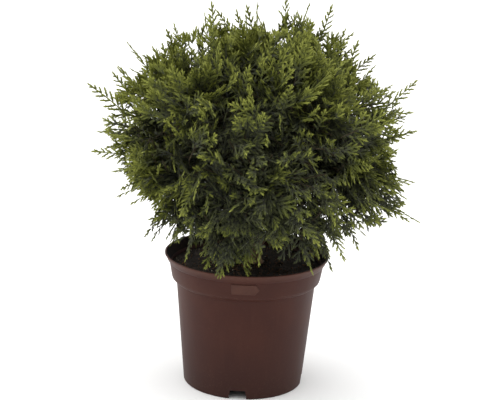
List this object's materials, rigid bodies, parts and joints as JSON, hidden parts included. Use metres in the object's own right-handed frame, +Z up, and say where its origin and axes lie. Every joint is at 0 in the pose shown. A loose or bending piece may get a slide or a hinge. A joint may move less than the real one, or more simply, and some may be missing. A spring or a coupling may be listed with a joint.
{
  "type": "potted danica arborvitae",
  "caption": "Globe-shaped evergreen shrub with flat, fern-like sprays on a short trunk, growing from dark soil in a tapered round plastic nursery pot with a flared rim.",
  "frame": {"origin": "on the axis of the round pot, at the level of the surface it stands on, which is the middle of the underside of the whole plant's box", "axes": "+Z up along the pot's axis, -Y towards the front with the blank name plate, +X to the right as seen from the front"},
  "size_m": [0.3582, 0.364, 0.4421],
  "materials": {
    "pot": "satin dark brown moulded plastic",
    "soil": "moist crumbly potting soil",
    "bark": "thin fibrous bark",
    "foliage": "matt scale leaves, yellower towards the tips"
  },
  "bodies": {
    "root": {"pot": "pot", "soil": "soil", "trunk": "bark", "bough_skirt_1": "bark", "bough_skirt_2": "bark", "bough_skirt_3": "bark", "bough_skirt_4": "bark", "bough_skirt_5": "bark", "bough_skirt_6": "bark", "bough_middle_1": "bark", "bough_middle_2": "bark", "bough_middle_3": "bark", "bough_middle_4": "bark", "bough_middle_5": "bark", "bough_middle_6": "bark", "bough_upper_1": "bark", "bough_upper_2": "bark", "bough_upper_3": "bark", "bough_upper_4": "bark", "bough_upper_5": "bark", "foliage_skirt_1": "foliage", "foliage_skirt_2": "foliage", "foliage_skirt_3": "foliage", "foliage_skirt_4": "foliage", "foliage_skirt_5": "foliage", "foliage_skirt_6": "foliage", "foliage_middle_1": "foliage", "foliage_middle_2": "foliage", "foliage_middle_3": "foliage", "foliage_middle_4": "foliage", "foliage_middle_5": "foliage", "foliage_middle_6": "foliage", "foliage_upper_1": "foliage", "foliage_upper_2": "foliage", "foliage_upper_3": "foliage", "foliage_upper_4": "foliage", "foliage_upper_5": "foliage", "foliage_top": "foliage"}
  },
  "joints": []
}
